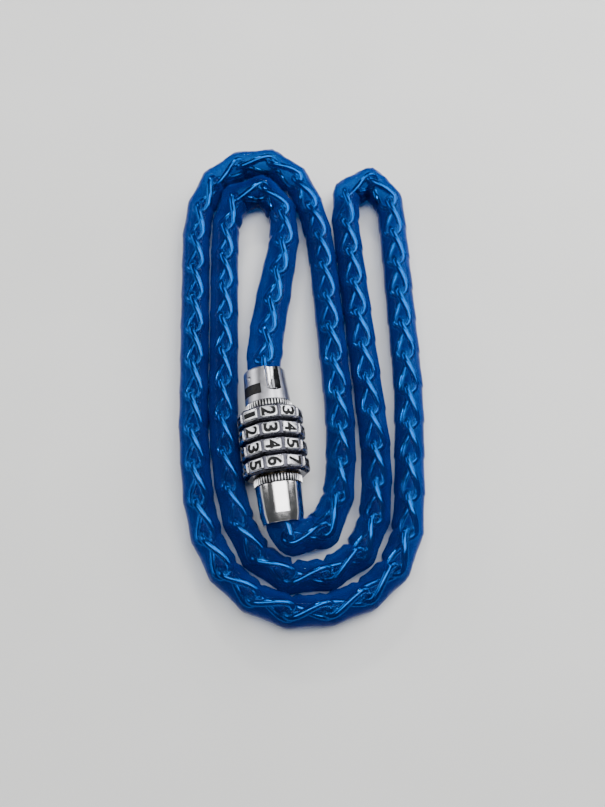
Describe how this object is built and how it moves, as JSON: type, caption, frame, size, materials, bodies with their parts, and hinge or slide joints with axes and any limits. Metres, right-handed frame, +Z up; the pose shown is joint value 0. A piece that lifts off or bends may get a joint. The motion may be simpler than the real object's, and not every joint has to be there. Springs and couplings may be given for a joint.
{
  "type": "combination chain lock",
  "caption": "Combination chain lock: steel chain in a translucent blue vinyl sleeve, folded flat, joined by a chrome barrel lock with numbered dials and a pull-out plug.",
  "frame": {"origin": "on the surface that the lock lies on, below the middle of its dial stack", "axes": "+Y along the barrel's axis from the plug's cap to the collar, +Z up through the row of digits being read, +X to the right"},
  "size_m": [0.0851, 0.1663, 0.02],
  "materials": {
    "satin_chrome": "satin chrome on a zinc casting, with a polished flute",
    "polished_chrome": "bright polished chrome",
    "knurled_chrome": "bright chrome with fine straight knurling",
    "dial_chrome": "chromed pads on darker grooves, with black filled digits",
    "black_label": "plain black label film",
    "zinc_casting": "raw zinc casting",
    "brass_ring": "pressed brass",
    "nylon": "natural nylon",
    "spring_steel": "spring steel strip",
    "steel_pin": "plain steel pin",
    "bolt_steel": "plated steel",
    "chain_steel": "zinc plated twisted steel chain",
    "blue_vinyl": "glossy translucent blue vinyl tube"
  },
  "bodies": {
    "barrel": {"collar": "satin_chrome", "upper_knurled_ring": "knurled_chrome", "collar_label": "black_label", "core_tube": "zinc_casting", "friction_washer": "nylon", "detent_spring": "spring_steel", "retaining_clip": "spring_steel", "collar_pin": "steel_pin", "chain_links": "chain_steel", "vinyl_sleeve": "blue_vinyl"},
    "first_dial": {"dial_1": "dial_chrome", "code_ring_1": "brass_ring"},
    "second_dial": {"dial_2": "dial_chrome", "code_ring_2": "brass_ring"},
    "third_dial": {"dial_3": "dial_chrome", "code_ring_3": "brass_ring"},
    "fourth_dial": {"dial_4": "dial_chrome", "code_ring_4": "brass_ring"},
    "plug": {"plug_cap": "polished_chrome", "plug_knurled_ring": "knurled_chrome", "bolt_rod": "bolt_steel", "cap_pin": "steel_pin"}
  },
  "joints": [
    {"name": "dial_1_turn", "type": "hinge", "parent": "barrel", "child": "first_dial", "pos_m": [0, 0.0078, 0.01], "axis": [0, 1, 0], "continuous": true},
    {"name": "dial_2_turn", "type": "hinge", "parent": "barrel", "child": "second_dial", "pos_m": [0, 0.0026, 0.01], "axis": [0, 1, 0], "continuous": true},
    {"name": "dial_3_turn", "type": "hinge", "parent": "barrel", "child": "third_dial", "pos_m": [0, -0.0026, 0.01], "axis": [0, 1, 0], "continuous": true},
    {"name": "dial_4_turn", "type": "hinge", "parent": "barrel", "child": "fourth_dial", "pos_m": [0, -0.0078, 0.01], "axis": [0, 1, 0], "continuous": true},
    {"name": "plug_pull", "type": "slide", "parent": "barrel", "child": "plug", "axis": [0, -1, 0], "range_m": [0, 0.028], "deforming": ["vinyl_sleeve", "chain_links"]}
  ]
}
